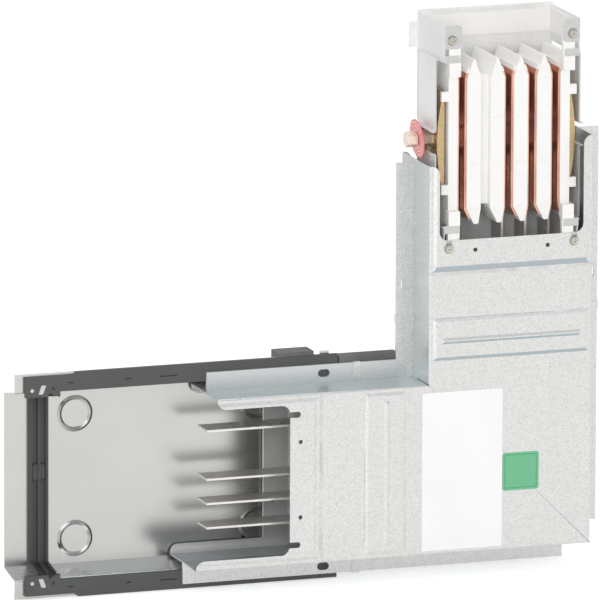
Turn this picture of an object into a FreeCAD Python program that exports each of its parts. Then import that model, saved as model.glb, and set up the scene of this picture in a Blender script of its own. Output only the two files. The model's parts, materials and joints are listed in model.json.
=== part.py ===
# Busway elbow: two mitred legs of bar trunking with four flat bars, a bolted joint
# pack at the top of the riser and the rear half of a joint cover on the run.
# Everything is drawn about the crossing of the two leg centre lines (X right, Y to
# the back, Z up) and moved at the end, so that the origin is the centre of the pack.
import FreeCAD
import Part
import math
import os

V = FreeCAD.Vector

# Trunking section; the flange faces of the front and rear shells meet at Y = 0
SHEET = 1.2
FOLD_R = 1.8
BODY_HALF = 79.0
INNER_EDGE = 95.5
OUTER_EDGE = 99.5
FRONT_DEPTH = 43.0
REAR_DEPTH = 32.0

# Reaches along a leg from the crossing of the centre lines
JOINT_REACH = 300.0
CUT_OUT_REACH = 212.0
INNER_END = 281.0
OUTER_END = 301.0
INNER_FLANGE_END = 277.5
OUTER_FLANGE_END = 300.0
OUTER_FLANGE_START = -67.0
FAR = 120.0
OVERCUT = 1.0

# End cut-out, notches and holes of the casing panels
CUT_OUT_HALF = 69.5
CUT_OUT_CORNER = 8.5
TONGUE_CORNER = 8.0
NOTCH_SPREAD = 60.5
NOTCH_R = 2.65
NOTCH_REACH = 204.5
COVER_HOLE_REACH = 202.0
COVER_HOLE_SPREAD = 35.0
COVER_HOLE_R = 2.0

# Pressings of the casing panels
PRESS_HEIGHT = 1.2
PRESS_SLOPE = 3.0
END_PRESS_SLOPE = 5.0
PRESS_HALF = 75.0
END_PRESS_START = 183.0
BAND_START = 101.0
BAND_END = 140.0
BEAD_REACH = 119.0
BEAD_HALF = 67.0
BEAD_WIDTH = 5.5
BEAD_SLOPE = 2.2
BEAD_HEIGHT = 1.2

# Slots and clips on the flanges
SLOT_REACH = 165.0
SLOT_LENGTH = 11.3
SLOT_R = 3.5
SLOT_INNER = 87.5
SLOT_OUTER = -92.5
CLIP_REACH = 130.0
CLIP_WIDTH = 7.0
CLIP_SHEET = 0.8
CLIP_LEG = 14.0

# Bars and their supports
BAR_PITCH = 22.5
BAR_THICK = 2.0
BAR_WIDTH = 26.0
BAR_TIP = 283.0
BAR_BEND = 8.0
BAR_SLOTS = {"inner": 2, "second": 0, "third": -1, "outer": -2}
SUPPORT_REACH = 146.0
SUPPORT_THICK = 12.0
SUPPORT_WINDOW_MARGIN = 7.0

# Joint pack, centred on its clamp bolt
PACK_Y = -5.5
INSULATOR_THICK = 13.5
INSULATOR_DEPTH = 60.0
INSULATOR_SHOULDER = 58.0
INSULATOR_PEAK = 76.0
INSULATOR_RIDGE = 1.6
INSULATOR_LOW = 62.0
INSULATOR_FOOT = 76.0
FOOT_LEFT_TAPER = 7.0
FOOT_RIGHT_TAPER = 2.3
LEDGE_WIDTH = 7.0
LEDGE_HEIGHT = 2.2
LEDGE_PROUD = 1.3
LEDGE_STEP = 41.5
END_THICK = 9.0
END_BLOCK_WIDTH = 11.0
END_BLOCK_HEIGHT = 13.0
END_BLOCK_ROOT = 2.0
END_LUG_TOP = 100.0
END_LUG_DEPTH = 5.0
END_CLIP_RISE = 43.0
END_CLIP_HEIGHT = 9.0
END_CLIP_REACH = 6.5
END_CLIP_DEPTH = 4.0
BOSS_HALF = 8.5
BORE_R = 6.3
SLEEVE_R = 6.0
SLEEVE_BORE_R = 4.4
CONTACT_THICK = 1.8
CONTACT_WIDTH = 56.0
CONTACT_FLARE = 9.0
CONTACT_HOLE_HALF = 9.5
BLANK_DEPTH = 46.0
BLANK_HALF_HEIGHT = 59.0

# Pressure plates, clamp bolt and tag
PLATE_THICK = 2.5
PLATE_DEPTH = 50.0
PLATE_HEIGHT = 94.0
PLATE_CORNER = 6.0
PLATE_ARCH = 4.5
PLATE_HOLE_R = 4.6
PLATE_GAP = 2.0
BOLT_R = 4.0
BOLT_END = 73.0
HEX_FLATS = 13.0
WASHER_R = 10.0
WASHER_THICK = 2.0
WASHER_BORE_R = 4.3
HEAD_THICK = 8.0
NECK_LENGTH = 6.2
NECK_R = 3.4
SHEAR_HEAD_LENGTH = 9.8
NUT_THICK = 6.5
NUT_BORE_R = 4.06
TAG_R = 18.0
TAG_THICK = 1.0
TAG_BORE_R = 3.9
TAG_BACK = 12.75
TAG_TILT = 6.0

# Pack frame of folded sheet
FRAME_HALF = 65.0
FRAME_TOP = 110.0
FRAME_JOG = 77.0
FRAME_JOG_OUT = 5.0
FRAME_FOOT = 11.0
FRAME_FOOT_OUT = 3.0
FRAME_REAR = 29.5
LEG_FRONT = -32.0
LEG_REAR = 14.0
LEG_RELIEF = 1.2
TAB_WIDTH = 16.0
TAB_LOW = 88.0
LIP_LOW = 75.0
LIP_HIGH = 82.0
LIP_REACH = 14.5
TAB_CORNER = 4.0
REAR_PLATE_TOP = 112.0
HEM_HALF = 52.0
HEM_REACH = 3.5
EAR_HALF = 73.0
EAR_LOW = 78.0
EAR_HIGH = 101.0
BAND_LOW = 86.0
BAND_TOP = 107.0
BAND_THICK = 2.0
BAND_FRONT = -38.0

# Pan-head screws
SCREW_HEAD_R = 4.7
SCREW_TOP_R = 3.3
SCREW_HEAD_HEIGHT = 2.6
SCREW_R = 1.75
SCREW_LENGTH = 7.0
SCREW_CROSS = 1.1
SCREW_CROSS_REACH = 2.6
SCREW_CROSS_DEPTH = 1.3
UPPER_SCREW_SPREAD = 58.0
UPPER_SCREW_RISE = 96.0

# Rear half of the joint cover
COVER_START = 150.0
COVER_END = 458.0
COVER_BACK = 36.0
COVER_BACK_HALF = 80.5
COVER_MOUTH_HALF = 86.5
COVER_FLANGE_Y = 5.5
COVER_EDGE = 104.0
COVER_TAB_REACH = 158.0
COVER_TAB_WIDTH = 8.5
COVER_TAB_EDGE = 107.0
RING_R = 17.0
RING_WIDTH = 4.4
RING_HEIGHT = 1.5
RING_CENTRE = 304.0
RING_OFFSET = 87.0
RING_SPREAD = 58.0
EDGE_SEAL_START = 151.0
EDGE_SEAL_END = 449.0
EDGE_SEAL_FRONT = 1.3
EDGE_SEAL_LOW = 87.0
EDGE_SEAL_PAD_END = 177.0
EDGE_SEAL_PAD_LOW = 80.6
EDGE_SEAL_STEP = 399.0
EDGE_SEAL_STEP_DROP = 3.0
EDGE_SEAL_LUG = ((416.0, 82.2), (417.5, 82.2), (424.7, 84.6), (424.7, 85.8), (426.2, 85.8), (427.0, 82.7))
EDGE_SEAL_CAP_LOW = 82.7
EDGE_SEAL_SLOT = ((434.0, 85.5), (436.0, 85.5), (433.2, 93.5), (430.6, 93.5))
EDGE_SEAL_HOLE = (442.9, 89.2, 1.7)
EDGE_SEAL_DIMPLE = (422.8, 90.2, 1.4)
EDGE_SEAL_SLITS = ((406.0, 5.0), (351.5, 5.0), (313.0, 16.0))
EDGE_SEAL_SLIT_LOW = 94.0
EDGE_SEAL_SLIT_WIDTH = 1.1
EDGE_SEAL_SLIT_DEPTH = 1.5
LIP_OPEN_REACH = 417.5
LIP_WIDTH = 18.0
LIP_BASE = 2.2
LIP_RIB = 4.6
LIP_RIB_WIDTH = 2.6
LIP_CASING_REACH = 158.0
LIP_CASING_THICK = 1.2
LIP_MOUTH_Y = 8.6
BLOCK_START = 172.0
BLOCK_LENGTH = 34.0
BLOCK_LOW = 88.7
BLOCK_TOP = 107.0
BLOCK_DEPTH = 20.0
SEAL_BAR_START = 92.0
SEAL_BAR_END = 149.0
SEAL_BAR_LOW = 80.2
SEAL_BAR_TOP = 101.0
SEAL_BAR_BACK = 17.0

TINY = 1e-6
parts = {}


def at(u, v, y):
    """Point of the run leg: u along the leg, v across it towards the inner corner."""
    return V(-u, y, v)


def riser(shape):
    """The same piece on the riser leg, mirrored in the mitre plane."""
    return shape.mirror(V(0, 0, 0), V(1, 0, 1))


def unit(vector):
    return vector * (1 / vector.Length)


def rounded_corner(before, corner, after, radius):
    """Start, middle and end of the arc that rounds one corner."""
    back = unit(before - corner)
    ahead = unit(after - corner)
    half = back.getAngle(ahead) / 2
    inward = unit(back + ahead)
    middle = corner + inward * (radius / math.sin(half) - radius)
    cut = radius / math.tan(half)
    return corner + back * cut, middle, corner + ahead * cut


def outline(points, radii):
    """Closed flat wire with one corner radius for each point."""
    stops = []
    for i, corner in enumerate(points):
        if radii[i] > 0:
            following = points[(i + 1) % len(points)]
            stops.append(rounded_corner(points[i - 1], corner, following, radii[i]))
        else:
            stops.append((corner,))
    edges = []
    for stop, following in zip(stops, stops[1:] + stops[:1]):
        if len(stop) > 1:
            edges.append(Part.Arc(*stop).toShape())
        if stop[-1].distanceToPoint(following[0]) > TINY:
            edges.append(Part.LineSegment(stop[-1], following[0]).toShape())
    return Part.Wire(edges)


def prism(points, sweep, radii=None):
    """Flat outline pushed along sweep."""
    return Part.Face(outline(points, radii or [0] * len(points))).extrude(sweep)


def block(low, high):
    """Box between two opposite corners in any order."""
    least = V(min(low.x, high.x), min(low.y, high.y), min(low.z, high.z))
    size = V(abs(high.x - low.x), abs(high.y - low.y), abs(high.z - low.z))
    return Part.makeBox(size.x, size.y, size.z, least)


def sheet(points, sweep, thickness=SHEET, outer_r=FOLD_R, inner_r=0):
    """Folded strip: a path pushed along sweep and thickened to the path's left."""
    normal = unit(sweep)
    sides = [unit(normal.cross(b - a)) for a, b in zip(points, points[1:])]
    far = [points[0] + sides[0] * thickness]
    near_radii = [0]
    far_radii = [0]
    for corner, first, second in zip(points[1:-1], sides, sides[1:]):
        far.append(corner + (first + second) * (thickness / (1 + first.dot(second))))
        turns_left = normal.dot(first.cross(second)) > 0
        near_radii.append(outer_r if turns_left else inner_r)
        far_radii.append(inner_r if turns_left else outer_r)
    far.append(points[-1] + sides[-1] * thickness)
    radii = near_radii + [0, 0] + far_radii[:0:-1] + [0]
    return prism(points + far[::-1], sweep, radii)


def frustum(u_range, half, y, height, end_slope, side_slope):
    """Raised pressing on a panel: rectangle with sloping edges, proud by height."""
    wires = []
    for rise in (0, 1):
        level = y + rise * height
        u0, u1 = u_range[0] + rise * end_slope, u_range[1] - rise * end_slope
        v = half - rise * side_slope
        corners = [at(u0, -v, level), at(u1, -v, level), at(u1, v, level), at(u0, v, level)]
        wires.append(outline(corners, [0] * len(corners)))
    return Part.makeLoft(wires, True, True)


def along_x(radius, x0, x1):
    """Cylinder about the clamp bolt's axis."""
    return Part.makeCylinder(radius, x1 - x0, V(x0, PACK_Y, JOINT_REACH), V(1, 0, 0))


def along_y(radius, u, v, y0, y1):
    """Cylinder through a panel of the run."""
    return Part.makeCylinder(radius, y1 - y0, at(u, v, y0), V(0, 1, 0))


def fused(shapes):
    return shapes[0].multiFuse(shapes[1:]).removeSplitter()


# Casing


def flange_slot(v):
    """Obround slot through both flanges."""
    reach = SLOT_LENGTH / 2 - SLOT_R
    ends = [along_y(SLOT_R, SLOT_REACH + s * reach, v, -FAR, FAR) for s in (-1, 1)]
    middle = block(at(SLOT_REACH - reach, v - SLOT_R, -FAR), at(SLOT_REACH + reach, v + SLOT_R, FAR))
    return fused([middle] + ends)


def tongue_corner(end, side, y0, y1):
    """Corner waste that leaves the free end of a tongue rounded."""
    waste = block(at(end - TONGUE_CORNER, side * CUT_OUT_HALF, y0),
                  at(end, side * (CUT_OUT_HALF + TONGUE_CORNER), y1))
    centre_v = side * (CUT_OUT_HALF + TONGUE_CORNER)
    return waste.cut(along_y(TONGUE_CORNER, end - TONGUE_CORNER, centre_v, y0, y1))


def screw_notch(v, y0, y1):
    """Round-ended notch in the front panel's edge for a screw of the pack."""
    mouth = block(at(NOTCH_REACH, v - NOTCH_R, y0), at(CUT_OUT_REACH + OVERCUT, v + NOTCH_R, y1))
    return [along_y(NOTCH_R, NOTCH_REACH, v, y0, y1), mouth]


def panel_waste(depth, facing):
    """All that is cut out of the panel at the open end of a leg."""
    y0, y1 = sorted((facing * (depth - SHEET - OVERCUT), facing * (depth + PRESS_HEIGHT + OVERCUT)))
    through = V(0, y1 - y0, 0)
    far_end = OUTER_END + FAR
    mouth = [at(CUT_OUT_REACH, -CUT_OUT_HALF, y0), at(CUT_OUT_REACH, CUT_OUT_HALF, y0),
             at(far_end, CUT_OUT_HALF, y0), at(far_end, -CUT_OUT_HALF, y0)]
    corner_r = CUT_OUT_CORNER if facing < 0 else 0
    waste = [prism(mouth, through, [corner_r, corner_r, 0, 0])]
    for side, end in ((1, INNER_END), (-1, OUTER_END)):
        waste.append(tongue_corner(end, side, y0, y1))
        waste.append(along_y(COVER_HOLE_R, COVER_HOLE_REACH, side * COVER_HOLE_SPREAD, y0, y1))
        if facing < 0:
            waste += screw_notch(side * NOTCH_SPREAD, y0, y1)
    return waste


def casing_waste():
    """Mitre, flange ends and flange slots, common to both shells."""
    corner = [at(-FAR, -FAR, -FAR), at(FAR, FAR, -FAR), at(-FAR, FAR, -FAR)]
    far_end = OUTER_END + FAR
    waste = [prism(corner, V(0, 2 * FAR, 0))]
    waste.append(block(at(INNER_END, 0, -FAR), at(far_end, FAR, FAR)))
    waste.append(block(at(OUTER_END, -FAR, -FAR), at(far_end, 0, FAR)))
    waste.append(block(at(INNER_FLANGE_END, BODY_HALF, -FAR), at(far_end, FAR, FAR)))
    waste.append(block(at(OUTER_FLANGE_END, -BODY_HALF, -FAR), at(far_end, -FAR, FAR)))
    waste.append(block(at(OUTER_FLANGE_START, -BODY_HALF, -FAR), at(-FAR, -FAR, FAR)))
    return waste + [flange_slot(SLOT_INNER), flange_slot(SLOT_OUTER)]


def casing_half(depth, facing):
    """Hat-shaped shell of one leg; facing is -1 for the front and 1 for the rear."""
    section = [(-OUTER_EDGE, SHEET), (-BODY_HALF, SHEET), (-BODY_HALF, depth),
               (BODY_HALF, depth), (BODY_HALF, SHEET), (INNER_EDGE, SHEET)]
    path = [at(-FAR, v, facing * y) for v, y in section][::-facing]
    shell = sheet(path, at(FAR + OUTER_END, 0, 0))
    face = facing * depth
    rise = facing * PRESS_HEIGHT
    end_press = (END_PRESS_START, OUTER_END + FAR)
    pressings = [frustum(end_press, PRESS_HALF, face, rise, END_PRESS_SLOPE, PRESS_SLOPE),
                 frustum((BAND_START, BAND_END), PRESS_HALF, face, rise, PRESS_SLOPE, PRESS_SLOPE)]
    bead = (BEAD_REACH - BEAD_WIDTH / 2, BEAD_REACH + BEAD_WIDTH / 2)
    pressings.append(frustum(bead, BEAD_HALF, face + rise, facing * BEAD_HEIGHT, BEAD_SLOPE, BEAD_SLOPE))
    inside = [p.translated(V(0, -facing * SHEET, 0)) for p in pressings]
    shell = shell.multiFuse(pressings).cut(inside)
    return shell.cut(casing_waste() + panel_waste(depth, facing)).removeSplitter()


def flange_clips():
    """Folded clips over the flange edges of both legs."""
    clips = []
    for edge in (INNER_EDGE, -OUTER_EDGE):
        inward = -math.copysign(1, edge)
        root = edge + inward * CLIP_LEG
        path = [at(CLIP_REACH, root, -SHEET), at(CLIP_REACH, edge, -SHEET),
                at(CLIP_REACH, edge, SHEET), at(CLIP_REACH, root, SHEET)]
        clip = sheet(path[::int(inward)], at(CLIP_WIDTH, 0, 0), CLIP_SHEET, 0)
        clips += [clip, riser(clip)]
    return Part.makeCompound(clips)


# Bars


def busbar(slot):
    """Flat bar bent at the corner, lying in one slot of the pack."""
    face = slot * BAR_PITCH + BAR_THICK / 2
    y = PACK_Y - BAR_WIDTH / 2
    path = [at(BAR_TIP, face, y), at(face, face, y), V(-face, y, BAR_TIP)]
    return sheet(path, V(0, BAR_WIDTH, 0), BAR_THICK, BAR_BEND + BAR_THICK, BAR_BEND)


def bar_support():
    """Insulating comb across the run with a slot for each bar."""
    half = BODY_HALF - SHEET
    comb = block(at(SUPPORT_REACH, -half, -FRONT_DEPTH + SHEET),
                 at(SUPPORT_REACH + SUPPORT_THICK, half, REAR_DEPTH - SHEET))
    window = BAR_PITCH / 2 - SUPPORT_WINDOW_MARGIN
    cuts = [(slot * BAR_PITCH, BAR_THICK / 2) for slot in BAR_SLOTS.values()]
    cuts += [(gap * BAR_PITCH, window) for gap in (1.5, 0.5, -0.5, -1.5)]
    waste = []
    for v, reach in cuts:
        waste.append(block(at(SUPPORT_REACH - OVERCUT, v - reach, PACK_Y - BAR_WIDTH / 2),
                           at(SUPPORT_REACH + SUPPORT_THICK + OVERCUT, v + reach, PACK_Y + BAR_WIDTH / 2)))
    return comb.cut(waste)


# Joint pack


def pack_profile(points, depth=INSULATOR_DEPTH):
    """Solid of constant depth from (x, height above the bolt) corners."""
    y = PACK_Y - depth / 2
    return prism([V(x, y, JOINT_REACH + z) for x, z in points], V(0, depth, 0))


def square_boss(x0, x1, half):
    """Square block about the clamp bolt's axis."""
    return block(V(x0, PACK_Y - half, JOINT_REACH - half), V(x1, PACK_Y + half, JOINT_REACH + half))


def phase_insulator(x, boss_left, boss_right):
    """Plate between two slots, gabled on top and pointed below, with square bolt bosses."""
    half = INSULATOR_THICK / 2
    gap = (BAR_PITCH - INSULATOR_THICK) / 2
    ridge = INSULATOR_RIDGE / 2
    low = -INSULATOR_LOW
    profile = [(x - half, low), (x - half + FOOT_LEFT_TAPER, -INSULATOR_FOOT),
               (x + half - FOOT_RIGHT_TAPER, -INSULATOR_FOOT), (x + half, low),
               (x + half, INSULATOR_SHOULDER), (x + ridge, INSULATOR_PEAK),
               (x - ridge, INSULATOR_PEAK), (x - half, INSULATOR_SHOULDER)]
    solids = [pack_profile(profile)]
    if boss_left:
        solids.append(square_boss(x - half - gap, x, BOSS_HALF))
    if boss_right:
        solids.append(square_boss(x, x + half + gap, BOSS_HALF))
    front = PACK_Y - INSULATOR_DEPTH / 2
    for step in (-1.5, -0.5, 0.5, 1.5):
        z = JOINT_REACH + step * LEDGE_STEP
        solids.append(block(V(x - LEDGE_WIDTH / 2, front - LEDGE_PROUD, z - LEDGE_HEIGHT / 2),
                            V(x + LEDGE_WIDTH / 2, front, z + LEDGE_HEIGHT / 2)))
    return fused(solids).cut(along_x(BORE_R, x - BAR_PITCH, x + BAR_PITCH))


def screw_hole(spread, rise):
    """Hole for a screw on the left of the pack, given from the bolt's axis."""
    return along_y(SCREW_R, spread, JOINT_REACH + rise, -FRONT_DEPTH - OVERCUT, -FRONT_DEPTH + SCREW_LENGTH)


def end_insulator():
    """Left end plate of the pack with its end blocks and the clips for the pressure plate."""
    inner = -2 * BAR_PITCH - (BAR_PITCH - INSULATOR_THICK) / 2
    outer = inner - END_THICK
    profile = [(outer, -INSULATOR_FOOT), (inner - END_THICK / 2, -INSULATOR_FOOT), (inner, -INSULATOR_LOW),
               (inner, INSULATOR_SHOULDER), (inner - END_THICK / 2, INSULATOR_PEAK), (outer, INSULATOR_PEAK)]
    front = PACK_Y - INSULATOR_DEPTH / 2
    solids = [pack_profile(profile), square_boss(inner - OVERCUT, -2 * BAR_PITCH, BOSS_HALF)]
    for side in (-1, 1):
        block_end = JOINT_REACH + side * LIP_LOW
        solids.append(block(V(inner - END_BLOCK_WIDTH, -FRONT_DEPTH, block_end),
                            V(inner, front + END_BLOCK_ROOT, block_end - side * END_BLOCK_HEIGHT)))
        solids.append(block(V(inner - END_BLOCK_WIDTH, -FRONT_DEPTH + SHEET, block_end - side * OVERCUT),
                            V(inner, -FRONT_DEPTH + SHEET + END_LUG_DEPTH, JOINT_REACH + side * END_LUG_TOP)))
        clip = JOINT_REACH + side * END_CLIP_RISE
        solids.append(block(V(outer - END_CLIP_REACH, front, clip - END_CLIP_HEIGHT / 2),
                            V(outer, front + END_CLIP_DEPTH, clip + END_CLIP_HEIGHT / 2)))
    holes = [along_x(BORE_R, outer - OVERCUT, 0), screw_hole(UPPER_SCREW_SPREAD, UPPER_SCREW_RISE),
             screw_hole(NOTCH_SPREAD, NOTCH_REACH - JOINT_REACH)]
    return fused(solids).cut(holes)


def contact_plate(face, toward, low_taper, high_taper):
    """Copper plate on an insulator's face and boss, flared at both ends along its tapers."""
    y = PACK_Y - CONTACT_WIDTH / 2
    levels = [(face - toward * CONTACT_FLARE * low_taper, -INSULATOR_LOW - CONTACT_FLARE),
              (face, -INSULATOR_LOW), (face, INSULATOR_SHOULDER),
              (face - toward * CONTACT_FLARE * high_taper, INSULATOR_SHOULDER + CONTACT_FLARE)]
    path = [V(x, y, JOINT_REACH + z) for x, z in levels][::toward]
    plate = sheet(path, V(0, CONTACT_WIDTH, 0), CONTACT_THICK, 0)
    return plate.cut(square_boss(face - BAR_PITCH, face + BAR_PITCH, CONTACT_HOLE_HALF))


def contact_pair(slot):
    """The two copper plates of a live slot, left and right."""
    x = -slot * BAR_PITCH
    gap = (BAR_PITCH - INSULATOR_THICK) / 2
    foot = INSULATOR_FOOT - INSULATOR_LOW
    gable = INSULATOR_PEAK - INSULATOR_SHOULDER
    gable_taper = (INSULATOR_THICK - INSULATOR_RIDGE) / 2 / gable
    end_low = END_THICK / 2 / foot
    end_high = END_THICK / 2 / gable
    at_left_end = slot == max(BAR_SLOTS.values())
    at_right_end = slot == min(BAR_SLOTS.values())
    left_tapers = (end_low, end_high) if at_left_end else (FOOT_RIGHT_TAPER / foot, gable_taper)
    right_tapers = (end_low, end_high) if at_right_end else (FOOT_LEFT_TAPER / foot, gable_taper)
    return contact_plate(x - gap, 1, *left_tapers), contact_plate(x + gap, -1, *right_tapers)


def blank_spacer():
    """White filler in the slot that has no bar."""
    half = (BAR_PITCH - INSULATOR_THICK) / 2
    x = -BAR_PITCH
    solid = block(V(x - half, PACK_Y - BLANK_DEPTH / 2, JOINT_REACH - BLANK_HALF_HEIGHT),
                  V(x + half, PACK_Y + BLANK_DEPTH / 2, JOINT_REACH + BLANK_HALF_HEIGHT))
    return solid.cut(along_x(BORE_R, x - BAR_PITCH, x + BAR_PITCH))


def end_face():
    """Distance of the end insulators' outer faces from the pack's middle."""
    return 2 * BAR_PITCH + (BAR_PITCH - INSULATOR_THICK) / 2 + END_THICK


def pressure_plate(inner, outward):
    """Clamping plate with arched stiffening edges at front and rear."""
    outer = inner + outward * PLATE_THICK
    y0, y1 = PACK_Y - PLATE_DEPTH / 2, PACK_Y + PLATE_DEPTH / 2
    z0, z1 = JOINT_REACH - PLATE_HEIGHT / 2, JOINT_REACH + PLATE_HEIGHT / 2
    corners = [V(inner, y0, z0), V(inner, y1, z0), V(inner, y1, z1), V(inner, y0, z1)]
    solids = [prism(corners, V(outer - inner, 0, 0), [PLATE_CORNER] * len(corners))]
    for y in (y0, y1 - PLATE_THICK):
        low, high = V(outer, y, z0 + PLATE_CORNER), V(outer, y, z1 - PLATE_CORNER)
        crown = V(outer + outward * PLATE_ARCH, y, JOINT_REACH)
        edges = [Part.Arc(low, crown, high).toShape(), Part.LineSegment(high, low).toShape()]
        solids.append(Part.Face(Part.Wire(edges)).extrude(V(0, PLATE_THICK, 0)))
    return fused(solids).cut(along_x(PLATE_HOLE_R, -FAR, FAR))


def hexagon(x0, x1):
    """Hexagonal prism about the bolt's axis."""
    corner_r = HEX_FLATS / math.sqrt(3)
    points = []
    for k in range(6):
        angle = math.radians(60 * k)
        points.append(V(x0, PACK_Y + corner_r * math.sin(angle), JOINT_REACH + corner_r * math.cos(angle)))
    return prism(points, V(x1 - x0, 0, 0))


def washer(x0):
    return along_x(WASHER_R, x0, x0 + WASHER_THICK).cut(along_x(WASHER_BORE_R, -FAR, FAR))


def clamp_bolt(seat):
    """Bolt with a lasting hexagon, a thin neck and a hexagon that shears off."""
    neck = seat - HEAD_THICK
    shear = neck - NECK_LENGTH
    solids = [along_x(BOLT_R, seat, BOLT_END), hexagon(neck, seat), along_x(NECK_R, shear, neck),
              hexagon(shear - SHEAR_HEAD_LENGTH, shear)]
    return fused(solids)


def torque_tag(seat):
    """Thin disc hanging loosely and a little askew on the bolt's neck."""
    x = seat - TAG_BACK
    disc = along_x(TAG_R, x - TAG_THICK / 2, x + TAG_THICK / 2).cut(along_x(TAG_BORE_R, -FAR, FAR))
    disc.rotate(V(x, PACK_Y, JOINT_REACH), V(0, 1, 0), -TAG_TILT)
    return disc


def frame_side(screw_spread, screw_rise):
    """Upper left side plate of the pack frame: upper wall with a front tab, jogged leg with a foot."""
    x = -FRAME_HALF
    leg_x = x - FRAME_JOG_OUT
    jog = JOINT_REACH + FRAME_JOG
    foot = JOINT_REACH + FRAME_FOOT
    front = -FRONT_DEPTH + SHEET
    path = [V(x, front, JOINT_REACH + FRAME_TOP), V(x, front, jog), V(leg_x, front, jog),
            V(leg_x, front, foot), V(leg_x - FRAME_FOOT_OUT, front, foot)]
    plate = sheet(path[::-1], V(0, FRAME_REAR - front, 0))
    legs_out = [block(V(-FAR, -FAR, 0), V(x - LEG_RELIEF, LEG_FRONT, jog + FAR)),
                block(V(-FAR, LEG_REAR, 0), V(x - LEG_RELIEF, FAR, jog + FAR))]
    plate = plate.cut(legs_out)
    top = JOINT_REACH + FRAME_TOP
    low = JOINT_REACH + TAB_LOW
    corners = [V(x, -FRONT_DEPTH, low), V(x + TAB_WIDTH, -FRONT_DEPTH, low),
               V(x + TAB_WIDTH, -FRONT_DEPTH, top), V(x, -FRONT_DEPTH, top)]
    tab = prism(corners, V(0, SHEET, 0), [0, TAB_CORNER, TAB_CORNER, 0])
    lip = block(V(x, -FRONT_DEPTH, JOINT_REACH + LIP_LOW),
                V(x + LIP_REACH, -FRONT_DEPTH + SHEET, JOINT_REACH + LIP_HIGH))
    return fused([plate, tab, lip]).cut(screw_hole(screw_spread, screw_rise))


def rear_plate():
    """Upper rear plate of the pack frame with an ear on each side and its top hemmed forward."""
    low = JOINT_REACH + FRAME_FOOT
    top = JOINT_REACH + REAR_PLATE_TOP
    plate = block(V(-FRAME_HALF, FRAME_REAR, low), V(FRAME_HALF, FRAME_REAR + SHEET, top))
    hem = block(V(-HEM_HALF, FRAME_REAR - HEM_REACH, top - SHEET), V(HEM_HALF, FRAME_REAR, top))
    ears = block(V(-EAR_HALF, FRAME_REAR, JOINT_REACH + EAR_LOW),
                 V(EAR_HALF, FRAME_REAR + SHEET, JOINT_REACH + EAR_HIGH))
    return fused([plate, hem, ears])


def pack_band():
    """White insulating band inside the upper frame."""
    x = FRAME_HALF - SHEET
    z = JOINT_REACH + BAND_LOW
    path = [V(x, BAND_FRONT, z), V(x, FRAME_REAR, z), V(-x, FRAME_REAR, z), V(-x, BAND_FRONT, z)]
    return sheet(path, V(0, 0, BAND_TOP - BAND_LOW), BAND_THICK, BAND_THICK)


def pan_screw(x, y, z):
    """Cross-head screw with its head on the face at y."""
    top = y - SCREW_HEAD_HEIGHT
    head = Part.makeCone(SCREW_HEAD_R, SCREW_TOP_R, SCREW_HEAD_HEIGHT, V(x, y, z), V(0, -1, 0))
    shank = Part.makeCylinder(SCREW_R, SCREW_LENGTH, V(x, y, z), V(0, 1, 0))
    half = SCREW_CROSS / 2
    floor = top + SCREW_CROSS_DEPTH
    cross = []
    for across, along in ((SCREW_CROSS_REACH, half), (half, SCREW_CROSS_REACH)):
        cross.append(block(V(x - across, top - OVERCUT, z - along), V(x + across, floor, z + along)))
    return fused([head, shank]).cut(cross)


def pack_screws():
    screws = []
    for side in (-1, 1):
        screws.append(pan_screw(side * UPPER_SCREW_SPREAD, -FRONT_DEPTH, JOINT_REACH + UPPER_SCREW_RISE))
        screws.append(pan_screw(side * NOTCH_SPREAD, -FRONT_DEPTH - PRESS_HEIGHT, NOTCH_REACH))
    return Part.makeCompound(screws)


# Joint cover


def cover_path(u, y_mouth):
    """Inner faces of the cover's channel from the lower to the upper mouth."""
    slant = (COVER_MOUTH_HALF - COVER_BACK_HALF) / (COVER_BACK - COVER_FLANGE_Y)
    mouth = COVER_BACK_HALF + slant * (COVER_BACK - y_mouth)
    return [at(u, -mouth, y_mouth), at(u, -COVER_BACK_HALF, COVER_BACK),
            at(u, COVER_BACK_HALF, COVER_BACK), at(u, mouth, y_mouth)]


def pressed_ring(u, v):
    """Ridge of a pressed ring that stands forward of the cover's back."""
    section = [at(u - RING_R, v, COVER_BACK), at(u - RING_R + RING_WIDTH / 2, v, COVER_BACK - RING_HEIGHT),
               at(u - RING_R + RING_WIDTH, v, COVER_BACK)]
    return Part.Face(Part.makePolygon(section + section[:1])).revolve(at(u, v, 0), V(0, 1, 0), 360)


def joint_cover_shell():
    """Channel with flared walls, outward flanges, pressed rings and an upper tab."""
    channel = cover_path(COVER_START, COVER_FLANGE_Y)
    path = [at(COVER_START, -COVER_EDGE, COVER_FLANGE_Y)] + channel
    path += [at(COVER_START, COVER_EDGE, COVER_FLANGE_Y)]
    sweep = at(COVER_END - COVER_START, 0, 0)
    shell = sheet(path, sweep)
    rings = []
    for u in (RING_CENTRE - RING_OFFSET, RING_CENTRE + RING_OFFSET):
        rings += [pressed_ring(u, v) for v in (-RING_SPREAD, RING_SPREAD)]
    tab = block(at(COVER_TAB_REACH, INNER_EDGE, COVER_FLANGE_Y),
                at(COVER_TAB_REACH + COVER_TAB_WIDTH, COVER_TAB_EDGE, COVER_FLANGE_Y + SHEET))
    return fused([shell] + rings + [tab])


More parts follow.
